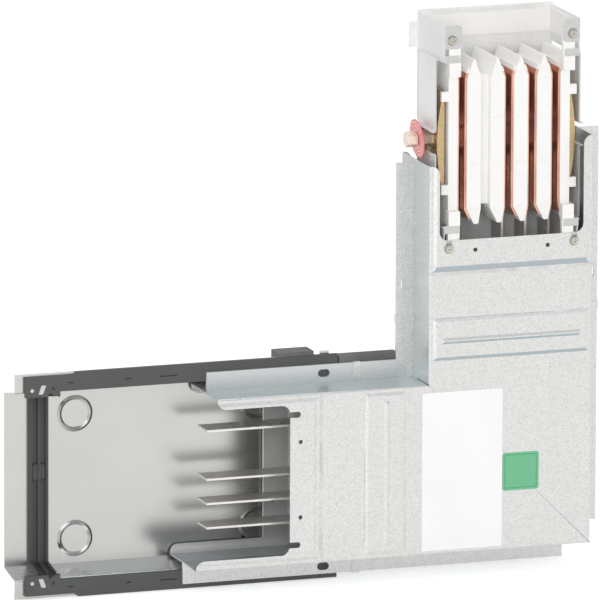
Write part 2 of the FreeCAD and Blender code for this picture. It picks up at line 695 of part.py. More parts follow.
def cover_edge_seal():
    """Upper black strip on the cover's flange: a pad behind the flange slot, a cap at its outer end."""
    drop = COVER_EDGE - EDGE_SEAL_STEP_DROP
    corners = [(EDGE_SEAL_START, EDGE_SEAL_PAD_LOW), (EDGE_SEAL_PAD_END, EDGE_SEAL_PAD_LOW),
               (EDGE_SEAL_PAD_END, EDGE_SEAL_LOW), (EDGE_SEAL_LUG[0][0], EDGE_SEAL_LOW), *EDGE_SEAL_LUG,
               (EDGE_SEAL_END, EDGE_SEAL_CAP_LOW), (EDGE_SEAL_END, drop),
               (EDGE_SEAL_STEP + EDGE_SEAL_STEP_DROP, drop), (EDGE_SEAL_STEP, COVER_EDGE),
               (EDGE_SEAL_START, COVER_EDGE)]
    points = [at(u, v, EDGE_SEAL_FRONT) for u, v in corners]
    strip = prism(points, V(0, COVER_FLANGE_Y - EDGE_SEAL_FRONT, 0))
    floor = EDGE_SEAL_FRONT + EDGE_SEAL_SLIT_DEPTH
    waste = [prism([at(u, v, 0) for u, v in EDGE_SEAL_SLOT], V(0, COVER_FLANGE_Y, 0))]
    for (u, v, radius), depth in ((EDGE_SEAL_HOLE, COVER_FLANGE_Y), (EDGE_SEAL_DIMPLE, floor)):
        waste.append(along_y(radius, u, v, 0, depth))
    for u, length in EDGE_SEAL_SLITS:
        waste.append(block(at(u - length / 2, EDGE_SEAL_SLIT_LOW, 0),
                           at(u + length / 2, EDGE_SEAL_SLIT_LOW + EDGE_SEAL_SLIT_WIDTH, floor)))
    return strip.cut(waste)


def cover_lip_seal(start, base, rib):
    """Seal across the inside of the cover, ribbed where rib is thicker than base."""
    strips = [sheet(cover_path(start, LIP_MOUTH_Y)[::-1], at(LIP_WIDTH, 0, 0), base, 0)]
    if rib > base:
        for k in range(3):
            u = start + k * (LIP_WIDTH - LIP_RIB_WIDTH) / 2
            strips.append(sheet(cover_path(u, LIP_MOUTH_Y)[::-1], at(LIP_RIB_WIDTH, 0, 0), rib, 0))
    return fused(strips)


def build():
    """Fill the table of named pieces."""
    for name, depth, facing in (("front", FRONT_DEPTH, -1), ("rear", REAR_DEPTH, 1)):
        shell = casing_half(depth, facing)
        parts[name + "_casing_run"] = shell
        parts[name + "_casing_riser"] = riser(shell)
    parts["flange_clips"] = flange_clips()
    parts["casing_seal_bar"] = block(at(SEAL_BAR_START, SEAL_BAR_LOW, SHEET + CLIP_SHEET),
                                     at(SEAL_BAR_END, SEAL_BAR_TOP, SEAL_BAR_BACK))
    for name, slot in BAR_SLOTS.items():
        parts["busbar_" + name] = busbar(slot)
        left, right = contact_pair(slot)
        parts["contact_" + name + "_left"] = left
        parts["contact_" + name + "_right"] = right
    support = bar_support()
    parts["bar_support_run"] = support
    parts["bar_support_riser"] = riser(support)

    for k in range(4):
        x = (k - 1.5) * BAR_PITCH
        parts["phase_insulator_%d" % (k + 1)] = phase_insulator(x, k != 1, k != 0)
    parts["end_insulator_left"] = end_insulator()
    parts["end_insulator_right"] = end_insulator().mirror(V(0, 0, 0), V(1, 0, 0))
    parts["blank_spacer"] = blank_spacer()
    face = end_face()
    parts["bolt_sleeve"] = along_x(SLEEVE_R, -face, face).cut(along_x(SLEEVE_BORE_R, -FAR, FAR))
    parts["pressure_plate_nut_side"] = pressure_plate(face, 1)
    parts["pressure_plate_bolt_side"] = pressure_plate(-face - PLATE_GAP, -1)
    nut_seat = face + PLATE_THICK
    parts["nut_washer"] = washer(nut_seat)
    nut = hexagon(nut_seat + WASHER_THICK, nut_seat + WASHER_THICK + NUT_THICK)
    parts["clamp_nut"] = nut.cut(along_x(NUT_BORE_R, -FAR, FAR))
    washer_face = -face - PLATE_GAP - PLATE_THICK - WASHER_THICK
    parts["bolt_washer"] = washer(washer_face)
    parts["clamp_bolt"] = clamp_bolt(washer_face)
    parts["torque_tag"] = torque_tag(washer_face)

    middle = V(0, 0, JOINT_REACH)
    upper = frame_side(UPPER_SCREW_SPREAD, UPPER_SCREW_RISE)
    lower = frame_side(NOTCH_SPREAD, JOINT_REACH - NOTCH_REACH).mirror(middle, V(0, 0, 1))
    for name, side in (("upper", upper), ("lower", lower)):
        parts["frame_side_" + name + "_left"] = side
        parts["frame_side_" + name + "_right"] = side.mirror(V(0, 0, 0), V(1, 0, 0))
    parts["frame_rear_upper"] = rear_plate()
    parts["frame_rear_lower"] = rear_plate().mirror(middle, V(0, 0, 1))
    parts["pack_band"] = pack_band()
    parts["pack_screws"] = pack_screws()

    parts["joint_cover_shell"] = joint_cover_shell()
    seal = cover_edge_seal()
    parts["cover_edge_seal_upper"] = seal
    parts["cover_edge_seal_lower"] = seal.mirror(V(0, 0, 0), V(0, 0, 1))
    parts["cover_lip_seal_open"] = cover_lip_seal(LIP_OPEN_REACH, LIP_BASE, LIP_RIB)
    parts["cover_lip_seal_casing"] = cover_lip_seal(LIP_CASING_REACH, LIP_CASING_THICK, 0)
    block_front = COVER_FLANGE_Y + SHEET
    parts["cover_foam_block"] = block(at(BLOCK_START, BLOCK_LOW, block_front),
                                      at(BLOCK_START + BLOCK_LENGTH, BLOCK_TOP, block_front + BLOCK_DEPTH))


build()
os.makedirs("parts", exist_ok=True)
for name, shape in parts.items():
    placed = shape.translated(V(0, -PACK_Y, -JOINT_REACH))
    placed.exportStep("parts/" + name + ".step")
    kinds = "%d solid(s)" % len(placed.Solids)
    print(name, kinds, "volume %.0f" % placed.Volume, "valid" if placed.isValid() else "NOT VALID")
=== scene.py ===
import json
import math

import bmesh
import bpy
from bpy.props import FloatProperty, FloatVectorProperty, PointerProperty
from mathutils import Matrix, Vector


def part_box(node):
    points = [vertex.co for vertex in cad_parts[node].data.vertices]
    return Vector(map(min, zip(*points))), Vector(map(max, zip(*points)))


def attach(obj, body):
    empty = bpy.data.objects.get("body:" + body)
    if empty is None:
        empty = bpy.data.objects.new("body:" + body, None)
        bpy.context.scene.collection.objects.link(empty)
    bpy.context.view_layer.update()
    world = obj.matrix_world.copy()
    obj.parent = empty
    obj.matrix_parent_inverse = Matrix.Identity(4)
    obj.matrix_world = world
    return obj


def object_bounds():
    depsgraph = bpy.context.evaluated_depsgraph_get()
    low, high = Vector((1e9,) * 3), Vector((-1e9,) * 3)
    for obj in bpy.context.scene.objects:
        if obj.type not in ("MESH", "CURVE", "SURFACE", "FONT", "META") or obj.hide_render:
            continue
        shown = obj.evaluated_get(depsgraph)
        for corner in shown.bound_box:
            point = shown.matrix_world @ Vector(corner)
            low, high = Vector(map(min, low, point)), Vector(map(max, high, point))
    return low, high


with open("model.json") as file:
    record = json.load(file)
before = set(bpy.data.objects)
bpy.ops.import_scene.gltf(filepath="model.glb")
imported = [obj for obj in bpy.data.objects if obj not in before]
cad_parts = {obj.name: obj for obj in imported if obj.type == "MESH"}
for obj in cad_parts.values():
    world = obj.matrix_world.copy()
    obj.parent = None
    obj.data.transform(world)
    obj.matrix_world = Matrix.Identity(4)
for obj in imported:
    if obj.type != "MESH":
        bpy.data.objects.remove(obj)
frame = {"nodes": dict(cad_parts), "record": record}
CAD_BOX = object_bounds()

bl_info = {
    "name": "Busway elbow dressing",
    "version": (1, 0, 0),
    "blender": (4, 5, 0),
    "location": "View3D > Sidebar > Elbow",
    "description": "Finishes, weld, seal details, labels and studio for a bar trunking elbow",
    "category": "Object",
}

NODES = frame["nodes"]
MOUNTS = {mount["name"]: mount["pos_m"] for mount in frame["record"]["mounts"]}
ROOT = "elbow"
COVER = "joint_cover"

# Places on the elbow, in metres
RUN_LEVEL = MOUNTS["run_joint"][2]  # middle line of the run, Z; the riser's is at X = 0
PANEL_FACE = -MOUNTS["riser_rear_face"][1]  # outside of the front panels, Y
PANEL_ZONE = PANEL_FACE + 0.0005  # only the front panels lie before this, Y
FLANGE_FACE = 0.0043  # front of the flanges, Y
FLANGE_ZONE = 0.002  # faces of a front shell that look to the front behind this are its flanges, Y
HALF_LEG = 0.079  # from the middle line of a leg to the outside of its walls
# Below LOWER_WALL, the up-facing inside of the run's lower wall is painted as shade.
LOWER_WALL = -0.362  # faces of the run that look up below this are the inside of its lower wall, Z
REAR_CUT_REACH = 0.212  # inner edge of the run's rear cut-out, from the corner
REAR_CUT_HALF = 0.0695  # from the run's middle line to the sides of that cut-out
# The bright line along the cut-out's edge is a painted highlight.
REAR_CUT_HIGHLIGHT = 0.0011  # half the width of the bright line along its edge
RING_ZONE = 0.0765  # the cover's rings lie within this of the run's middle line, its walls beyond
BAR_TIPS = -0.25  # the free ends of the bars lie to the left of this, X
LIP_START = 0.0632  # lower end of the lacquer on the contact plates, Z
SHANK_START = -0.060  # outer end of the clamp bolt's thread, X
HOOK_PLACE = (-0.4333, 0.0895)  # X, and distance from the run's middle line
RIVET_PLACE = (-0.4429, 0.0892)

# Weld along the mitre, by its reach from the corner towards the inside
WELD_FLANGE = 0.0945  # end on the inner flanges
WELD_PLATE = 0.0722  # end at the white plate
WELD_STICKER = -0.0262  # end at the green sticker
SEALANT_END = -0.008  # rear end of the sealant in the inner corner, Y

# Creases of a front panel: reach from the corner, half width and depth of shade
CREASES = ((0.101, 0.0004, 0.5), (0.140, 0.0004, 0.6), (0.1815, 0.0016, 0.28),
           (0.183, 0.0004, 0.5), (0.188, 0.0004, 0.4))


def metres(name, value, text):
    """A length property."""
    return FloatProperty(name=name, description=text, default=value, unit="LENGTH", precision=5)


def degrees(name, value, text):
    """An angle property, its value given in degrees."""
    return FloatProperty(name=name, description=text, default=math.radians(value), unit="ROTATION")


def colour(name, value, text):
    """A colour property."""
    return FloatVectorProperty(name=name, description=text, default=value, subtype="COLOR", min=0, max=1)


def settings():
    """Sizes and colours that a user can change."""
    return bpy.context.scene.busway_elbow


# Sizes and colours


class MetalFinish(bpy.types.PropertyGroup):
    sheet: colour("Sheet", (0.665, 0.663, 0.65), "Galvanised sheet of the casing")
    sheet_dark: colour("Sheet shade", (0.53, 0.53, 0.52), "Darker crystals of the galvanised sheet")
    # Painted shade: a darker bluish tone for the front face of the run's upper flange, the same sheet as the
    # panel.
    flange: colour("Flange", (0.58, 0.595, 0.60), "Front face of the run's upper flange")
    # Painted shade: a darker bluish tone for the inside of the run's lower wall, where shade falls.
    tongue: colour("Tongue", (0.45, 0.49, 0.51), "Inside of the run's lower wall")
    # Painted shade with a painted bluish reflection: the tone given to the casing's walls that look sideways.
    wall: colour("Wall", (0.60, 0.645, 0.655), "Galvanised walls that look sideways")
    frame: colour("Frame", (0.58, 0.58, 0.57), "Pale galvanised sheet of the pack frame")
    frame_dark: colour("Frame shade", (0.51, 0.51, 0.50), "Darker crystals of the pack frame")
    # Painted light: a paler tone for the frame's walls that look sideways; also the base tone of the frame's
    # rear plates, lightened partly as painted light.
    frame_wall: colour("Frame wall", (0.88, 0.88, 0.87), "Walls of the pack frame that look sideways")
    # Painted light and shade: the front-facing inside faces of the rear shells, lighter in the riser and
    # darker in the run, in place of the light that reaches them.
    rear_riser: colour("Rear riser", (0.88, 0.86, 0.83), "Inside of the riser's rear shell")
    rear_run: colour("Rear run", (0.54, 0.54, 0.53), "Inside of the run's rear shell")
    # Painted highlight along the edge of the run's rear cut-out.
    cut_edge: colour("Cut edge", (0.92, 0.92, 0.91), "Bright edge of the run's rear cut-out")
    # Painted shade: the darker bluish tone on the down-facing slopes of the pressings and along the flange
    # folds; also the darker crystals of the weld.
    drawn: colour("Drawn sheet", (0.36, 0.405, 0.43), "Smoothed zinc on the slopes of the pressings")
    bright: colour("Cover sheet", (0.51, 0.505, 0.49), "Bright sheet of the joint cover")
    # Painted light: a paler tone for the joint cover's walls that look up.
    bright_wall: colour("Cover wall", (0.88, 0.885, 0.88), "Walls of the joint cover that look up")
    bar: colour("Bar", (0.47, 0.455, 0.44), "Rolled faces of the flat bars")
    # Painted highlight: a brighter tone on the cut edges and free ends of the bars.
    bar_edge: colour("Bar edge", (0.78, 0.76, 0.72), "Bright cut edges of the flat bars")
    copper: colour("Copper", (0.80, 0.44, 0.33), "Contact plates")
    copper_dark: colour("Copper shade", (0.55, 0.27, 0.20), "Handled patches of the contact plates")
    passivated: colour("Passivated", (0.48, 0.39, 0.16), "Yellow passivated pressure plates")
    passivated_pink: colour("Passivated shade", (0.66, 0.37, 0.29), "Pink sheen on the pressure plates")
    bolt: colour("Bolt", (0.84, 0.75, 0.58), "Pale passivated clamp bolt")
    bolt_pink: colour("Bolt shade", (0.86, 0.64, 0.60), "Pink sheen on the clamp bolt")
    screw: colour("Screw", (0.52, 0.49, 0.44), "Bright screws of the pack frame")
    screw_dark: colour("Screw shade", (0.44, 0.41, 0.36), "Darker grain of the screws")
    screw_grain: metres("Screw grain", 0.0006, "Size of the grain on the screws")
    # Painted shade: the dark line along the folds of the flanges stands for the shade in the fold.
    fold_line: metres("Fold line", 0.0026, "Place of the dull line along the folds of the flanges")
    fold_width: metres("Fold line width", 0.001, "Width of that line")
    spangle: metres("Spangle", 0.0010, "Size of one crystal of the zinc coat")
    seam_radius: metres("Seam radius", 0.0005, "Radius of the weld along the mitre")
    thread_pitch: metres("Thread pitch", 0.00125, "Pitch of the clamp bolt's thread")


class PolymerFinish(bpy.types.PropertyGroup):
    white: colour("White", (0.93, 0.92, 0.90), "Moulded insulators and band")
    support: colour("Support", (0.80, 0.79, 0.76), "Combs that carry the bars")
    strip: colour("Strip", (0.078, 0.079, 0.080), "Edge strips")
    rubber: colour("Rubber", (0.052, 0.053, 0.056), "Lip seals")
    foam: colour("Cellular rubber", (0.19, 0.19, 0.186), "Cellular block and bar")
    lip: colour("Lip", (0.90, 0.89, 0.86), "Lacquer on the upper lips of the contact plates")
    red: colour("Tag", (0.84, 0.20, 0.21), "Loose disc on the clamp bolt")
    red_pale: colour("Tag rings", (0.96, 0.70, 0.68), "Light rings printed on the disc")
    ring_pitch: metres("Ring pitch", 0.0034, "From one ring of the disc to the next")
    ring_start: metres("Ring start", 0.0065, "Radius of the plain middle of the disc")


class LabelSizes(bpy.types.PropertyGroup):
    plate_width: metres("Plate width", 0.0775, "Width of the blank white plate")
    plate_height: metres("Plate height", 0.147, "Height of the blank white plate")
    plate_centre: FloatVectorProperty(
        name="Plate centre", description="Centre of the white plate on the front panel, X and Z",
        size=2, default=(-0.0460, -0.3020), unit="LENGTH")
    sticker_side: metres("Sticker side", 0.0353, "Side of the green sticker")
    sticker_centre: FloatVectorProperty(
        name="Sticker centre", description="Centre of the green sticker on the front panel, X and Z",
        size=2, default=(0.0106, -0.30685), unit="LENGTH")
    thickness: metres("Film", 0.00018, "Thickness of both films")
    plate_corner: metres("Plate corner", 0.0012, "Corner radius of the white plate")
    sticker_corner: metres("Sticker corner", 0.0025, "Corner radius of the green sticker")
    plate_colour: colour("Plate", (0.94, 0.94, 0.935), "White film")
    sticker_colour: colour("Sticker", (0.16, 0.50, 0.275), "Green film")
    frame_colour: colour("Sticker frame", (0.07, 0.36, 0.17), "Printed frame of the sticker")


class SealDetail(bpy.types.PropertyGroup):
    insert_width: metres("Insert width", 0.0125, "Width of the plain piece in the outer lip seal")
    insert_height: metres("Insert height", 0.0150, "Height of that piece")
    insert_middle: metres("Insert middle", -0.2938, "Height of its middle")
    insert_depth: metres("Insert depth", 0.0040, "How far it stands out of the cover's back")
    ridge: metres("Ridge", 0.0009, "Thickness of the ridges at its two ends")
    hook_width: metres("Hook width", 0.0044, "Bright hook in the slot of an edge strip")
    hook_height: metres("Hook height", 0.0082, "Height of that hook")
    hook_corner: metres("Hook corner", 0.0008, "Corner radius of that hook")
    hook_lean: FloatProperty(
        name="Hook lean", description="Sideways lean of that hook, as a part of its height", default=0.35)
    rivet_width: metres("Rivet width", 0.0034, "Bright rivet in the hole of an edge strip")
    fitting: metres("Fitting", 0.0003, "Thickness of hooks and rivets")


class StudioSetting(bpy.types.PropertyGroup):
    azimuth: degrees("Azimuth", 19.3, "Turn of the camera to the left")
    elevation: degrees("Elevation", 11.9, "Rise of the camera")
    roll: degrees("Roll", 0.23, "Roll of the camera")
    distance: metres("Distance", 12.0, "From the camera to its target")
    focal: FloatProperty(name="Focal length", description="In picture widths", default=22.057)
    target: FloatVectorProperty(
        name="Target", description="Point in the middle of the picture",
        size=3, default=(-0.1878, 0.0055, -0.1434), unit="LENGTH")
    floor: colour("Floor", (0.93, 0.93, 0.93), "Floor under the elbow")
    floor_size: metres("Floor size", 12.0, "From the middle of the floor to its sides")
    floor_gap: metres("Floor gap", 0.0005, "From the floor to the lowest point of the elbow")
    floor_glow: FloatProperty(
        name="Floor glow", description="Light of the floor as the camera and metal see it", default=0.46)
    ambient: FloatProperty(name="Ambient", description="World light on matt surfaces", default=0.52)
    overhead: colour("Overhead", (0.54, 0.61, 0.64), "Colour that metal shows of the room straight above")


class ElbowSettings(bpy.types.PropertyGroup):
    metal: PointerProperty(type=MetalFinish)
    polymer: PointerProperty(type=PolymerFinish)
    labels: PointerProperty(type=LabelSizes)
    seals: PointerProperty(type=SealDetail)
    studio: PointerProperty(type=StudioSetting)


# Shader building


def opaque(value):
    return (*value, 1.0)


def shaded(value, part):
    """Opaque colour with each channel cut to a part."""
    return opaque([channel * part for channel in value])


def feed(tree, socket, value):
    """Join a socket to another one, or set it where the value is plain."""
    if isinstance(value, bpy.types.NodeSocket):
        tree.links.new(value, socket)
    else:
        socket.default_value = value


def put(tree, kind, **inputs):
    """New node with its inputs fed by name, where an underscore stands for a space."""
    node = tree.nodes.new(kind)
    for name, value in inputs.items():
        feed(tree, node.inputs[name.replace("_", " ")], value)
    return node


def maths(tree, operation, first, second=0.0):
    node = tree.nodes.new("ShaderNodeMath")
    node.operation = operation
    feed(tree, node.inputs[0], first)
    feed(tree, node.inputs[1], second)
    return node.outputs[0]


def both(tree, first, second):
    """Mask where two masks meet."""
    return maths(tree, "MULTIPLY", first, second)


def away_from(tree, value, middle):
    """Distance of a value from a middle."""
    return maths(tree, "ABSOLUTE", maths(tree, "SUBTRACT", value, middle))


def within(tree, value, middle, half):
    """Mask where a value is less than half away from a middle."""
    return maths(tree, "LESS_THAN", away_from(tree, value, middle), half)


def parts_of(tree, vector):
    """X, Y and Z of a vector."""
    return put(tree, "ShaderNodeSeparateXYZ", Vector=vector).outputs


def ramp(tree, source, low, high):
    """Value of source spread from low to high."""
    return put(tree, "ShaderNodeMapRange", Value=source, From_Min=low, From_Max=high).outputs["Result"]


def blend(tree, factor, first, second):
    """Colour between first and second."""
    node = tree.nodes.new("ShaderNodeMix")
    node.data_type = "RGBA"
    for place, value in ((0, factor), (6, first), (7, second)):
        feed(tree, node.inputs[place], value)
    return node.outputs[2]


def group(name, inputs, outputs):
    """Empty shader group with named value sockets."""
    tree = bpy.data.node_groups.new(name, "ShaderNodeTree")
    for socket, kind, value in inputs:
        made = tree.interface.new_socket(socket, in_out="INPUT", socket_type=kind)
        if value is not None:
            made.default_value = value
    for socket in outputs:
        tree.interface.new_socket(socket, in_out="OUTPUT", socket_type="NodeSocketFloat")
    return tree, tree.nodes.new("NodeGroupInput").outputs, tree.nodes.new("NodeGroupOutput").inputs


def zinc_crystals():
    """Crystals of a hot-dip zinc coat: a shade and a gloss for each one, with soft edges."""
    tree, given, out = group("zinc_crystals", (("Vector", "NodeSocketVector", None),
                                               ("Size", "NodeSocketFloat", 0.0016)),
                             ("Shade", "Gloss", "Height"))
    scale = maths(tree, "DIVIDE", 1.0, given["Size"])
    bend = put(tree, "ShaderNodeTexNoise", Vector=given["Vector"], Scale=900.0, Detail=2.0)
    shift = put(tree, "ShaderNodeVectorMath")
    shift.operation = "MULTIPLY_ADD"
    tree.links.new(bend.outputs["Color"], shift.inputs[0])
    shift.inputs[1].default_value = (0.0012, 0.0012, 0.0012)
    tree.links.new(given["Vector"], shift.inputs[2])
    cells = put(tree, "ShaderNodeTexVoronoi", Vector=shift.outputs[0], Scale=scale)
    split = put(tree, "ShaderNodeSeparateColor", Color=cells.outputs["Color"])
    fine = put(tree, "ShaderNodeTexNoise", Vector=given["Vector"], Scale=2600.0, Detail=3.0)
    shade = maths(tree, "ADD", maths(tree, "MULTIPLY", split.outputs["Red"], 0.75),
                  maths(tree, "MULTIPLY", fine.outputs["Fac"], 0.25))
    tree.links.new(shade, out["Shade"])
    tree.links.new(split.outputs["Green"], out["Gloss"])
    tree.links.new(maths(tree, "ADD", fine.outputs["Fac"], cells.outputs["Distance"]), out["Height"])
    return tree


def handling_marks():
    """Broad uneven dulling and short rubbed streaks."""
    tree, given, out = group("handling_marks", (("Vector", "NodeSocketVector", None),
                                                ("Scale", "NodeSocketFloat", 14.0)),
                             ("Dull", "Streak"))
    broad = put(tree, "ShaderNodeTexNoise", Vector=given["Vector"], Scale=given["Scale"], Detail=5.0)
    tree.links.new(ramp(tree, broad.outputs["Fac"], 0.35, 0.7), out["Dull"])
    long = put(tree, "ShaderNodeMapping", Vector=given["Vector"])
    long.inputs["Scale"].default_value = (60.0, 1500.0, 1500.0)
    streak = put(tree, "ShaderNodeTexNoise", Vector=long.outputs["Vector"], Scale=1.0, Detail=3.0)
    tree.links.new(ramp(tree, streak.outputs["Fac"], 0.5, 0.75), out["Streak"])
    return tree


def pressed_slopes():
    """Masks of slopes that look down, walls that look sideways, and faces that look to the front or up."""
    tree, given, out = group("pressed_slopes", (("Normal", "NodeSocketVector", None),),
                             ("Slope", "Wall", "Front", "Top", "Steep"))
    axes = parts_of(tree, given["Normal"])
    level = maths(tree, "ABSOLUTE", axes["Y"])
    gentle = maths(tree, "GREATER_THAN", level, 0.85)
    masks = {"Slope": both(tree, gentle, maths(tree, "LESS_THAN", axes["Z"], -0.15)),
             "Wall": maths(tree, "LESS_THAN", level, 0.5),
             "Front": maths(tree, "LESS_THAN", axes["Y"], -0.5),
             "Top": maths(tree, "GREATER_THAN", axes["Z"], 0.5),
             "Steep": maths(tree, "LESS_THAN", level, 0.97)}
    for name, mask in masks.items():
        tree.links.new(mask, out[name])
    return tree


def crease_shade_lines():
    """Painted shade: broken dark lines on a front panel along the creases of its pressings, by their reach
    along the leg.
    """
    tree, given, out = group("crease_shade_lines", (("Vector", "NodeSocketVector", None),
                                                ("Reach", "NodeSocketFloat", 0.0)), ("Crease",))
    fine = put(tree, "ShaderNodeTexNoise", Vector=given["Vector"], Scale=70.0, Detail=4.0)
    broken = ramp(tree, fine.outputs["Fac"], 0.38, 0.62)
    lines = None
    for reach, half_width, depth in CREASES:
        line = maths(tree, "MULTIPLY", within(tree, given["Reach"], reach, half_width), depth)
        lines = maths(tree, "MAXIMUM", lines, line) if lines else line
    panel = maths(tree, "LESS_THAN", parts_of(tree, given["Vector"])["Y"], PANEL_ZONE)
    tree.links.new(both(tree, both(tree, lines, broken), panel), out["Crease"])
    return tree


def moulded_grain():
    """Fine moulded surface with faint flow shading."""
    tree, given, out = group("moulded_grain", (("Vector", "NodeSocketVector", None),
                                               ("Grain", "NodeSocketFloat", 1800.0)),
                             ("Shade", "Height"))
    fine = put(tree, "ShaderNodeTexNoise", Vector=given["Vector"], Scale=given["Grain"], Detail=4.0)
    broad = put(tree, "ShaderNodeTexNoise", Vector=given["Vector"], Scale=22.0, Detail=3.0)
    tree.links.new(ramp(tree, broad.outputs["Fac"], 0.3, 0.7), out["Shade"])
    tree.links.new(fine.outputs["Fac"], out["Height"])
    return tree


def shared(maker):
    """The group made by maker, built the first time it is asked for."""
    return bpy.data.node_groups.get(maker.__name__) or maker()


def use(tree, maker, **inputs):
    """Place a shared group in a material."""
    node = tree.nodes.new("ShaderNodeGroup")
    node.node_tree = shared(maker)
    for name, value in inputs.items():
        feed(tree, node.inputs[name], value)
    return node.outputs


def facing_of(tree):
    """Masks of a material by the way that its faces look."""
    return use(tree, pressed_slopes, Normal=tree.nodes["Texture Coordinate"].outputs["Normal"])


def new_material(name):
    """Material with its tree, its shader and the place on the piece."""
    material = bpy.data.materials.new(name)
    material.use_nodes = True
    tree = material.node_tree
    shader = tree.nodes["Principled BSDF"]
    place = tree.nodes.new("ShaderNodeTexCoord").outputs["Object"]
    return material, tree, shader, place


def bump(tree, shader, height, strength, depth):
    """Join a height to the shader's normal."""
    node = put(tree, "ShaderNodeBump", Height=height, Strength=strength, Distance=depth)
    tree.links.new(node.outputs["Normal"], shader.inputs["Normal"])


def roughen(tree, shader, least, *masks):
    """Roughness that rises from the least one with each mask by its spread."""
    rough = least
    for mask, spread in masks:
        rough = maths(tree, "ADD", maths(tree, "MULTIPLY", mask, spread), rough)
    tree.links.new(rough, shader.inputs["Roughness"])


def zinc_sheet(name, light, dark, size, gloss, metallic, wall=None):
    """Galvanised sheet with crystals and handling marks and, where given, a tone painted on its walls that
    look sideways as their light and shade.
    """
    material, tree, shader, place = new_material(name)
    coat = use(tree, zinc_crystals, Vector=place, Size=size)
    marks = use(tree, handling_marks, Vector=place)
    shade = ramp(tree, coat["Shade"], 0.1, 0.6)
    tone = blend(tree, shade, opaque(dark), opaque(light))
    # Painted light and shade: walls that look sideways take the given tone.
    if wall:
        painted_wall_tone = blend(tree, shade, shaded(wall, 0.9), opaque(wall))
        tone = blend(tree, facing_of(tree)["Wall"], tone, painted_wall_tone)
    worn = blend(tree, maths(tree, "MULTIPLY", marks["Dull"], 0.22), tone, shaded(light, 0.86))
    tree.links.new(worn, shader.inputs["Base Color"])
    roughen(tree, shader, gloss, (coat["Gloss"], 0.14), (marks["Streak"], 0.05))
    shader.inputs["Metallic"].default_value = metallic
    bump(tree, shader, coat["Height"], 0.10, 0.0002)
    return material


def leg_sheet(name, axis, corner, upright):
    """Galvanised sheet of a front shell, its length running along an axis from the corner, with painted shade
    on its folds, creases and sideways walls, on the down-facing slopes of an upright shell, and on the lower
    inside wall and upper flange of a lying one.
    """
    metal = settings().metal
    material = zinc_sheet(name, metal.sheet, metal.sheet_dark, metal.spangle, gloss=0.27, metallic=0.75,
                          wall=metal.wall)
    tree = material.node_tree
    base = tree.nodes["Principled BSDF"].inputs["Base Color"]
    tone = base.links[0].from_socket
    place = tree.nodes["Texture Coordinate"].outputs["Object"]
    axes = parts_of(tree, place)
    facing = facing_of(tree)
    if upright:
        # Painted shade on the slopes that look down.
        tone = blend(tree, facing["Slope"], tone, opaque(metal.drawn))
    else:
        # Painted shade on the up-facing inside of the run's lower wall.
        inside = both(tree, facing["Top"], maths(tree, "LESS_THAN", axes["Z"], LOWER_WALL))
        tone = blend(tree, inside, tone, opaque(metal.tongue))
        # Painted shade: the front faces of the run's upper flange get a darker bluish tone.
        upper = both(tree, facing["Front"], maths(tree, "GREATER_THAN", axes["Z"], RUN_LEVEL))
        flange = both(tree, upper, maths(tree, "GREATER_THAN", axes["Y"], FLANGE_ZONE))
        tone = blend(tree, flange, tone, opaque(metal.flange))
    # Painted shade along the folds of the flanges.
    shaded_fold = within(tree, axes["Y"], metal.fold_line, metal.fold_width / 2)
    tone = blend(tree, maths(tree, "MULTIPLY", shaded_fold, 0.55), tone, opaque(metal.drawn))
    # Painted shade along the creases of the pressings.
    shaded_crease = use(tree, crease_shade_lines, Vector=place, Reach=away_from(tree, axes[axis], corner))
    tree.links.new(blend(tree, shaded_crease["Crease"], tone, shaded(metal.sheet, 0.45)), base)
    return material


def rear_sheet(name, inside, cut_reach=None):
    """Galvanised rear shell with its front-facing inside faces painted a given tone of light or shade and,
    where given, painted shade on its lower wall and a painted highlight along the edge of its cut-out.
    """
    metal = settings().metal
    material = zinc_sheet(name, metal.sheet, metal.sheet_dark, metal.spangle, gloss=0.36, metallic=0.35)
    tree = material.node_tree
    base = tree.nodes["Principled BSDF"].inputs["Base Color"]
    facing = facing_of(tree)
    # The faces that look to the front, inside the shell, take the given tone: painted light in the riser,
    # painted shade in the run.
    tone = blend(tree, facing["Front"], base.links[0].from_socket, opaque(inside))
    if cut_reach:
        axes = parts_of(tree, tree.nodes["Texture Coordinate"].outputs["Object"])
        # Painted shade on the up-facing inside of the run's lower wall.
        low = both(tree, facing["Top"], maths(tree, "LESS_THAN", axes["Z"], LOWER_WALL))
        tone = blend(tree, low, tone, opaque(metal.tongue))
        # Painted highlight along the edge of the run's rear cut-out.
        near = within(tree, axes["X"], -cut_reach, REAR_CUT_HIGHLIGHT)
        across = within(tree, axes["Z"], RUN_LEVEL, REAR_CUT_HALF)
        tone = blend(tree, both(tree, near, across), tone, opaque(metal.cut_edge))
    tree.links.new(tone, base)
    return material


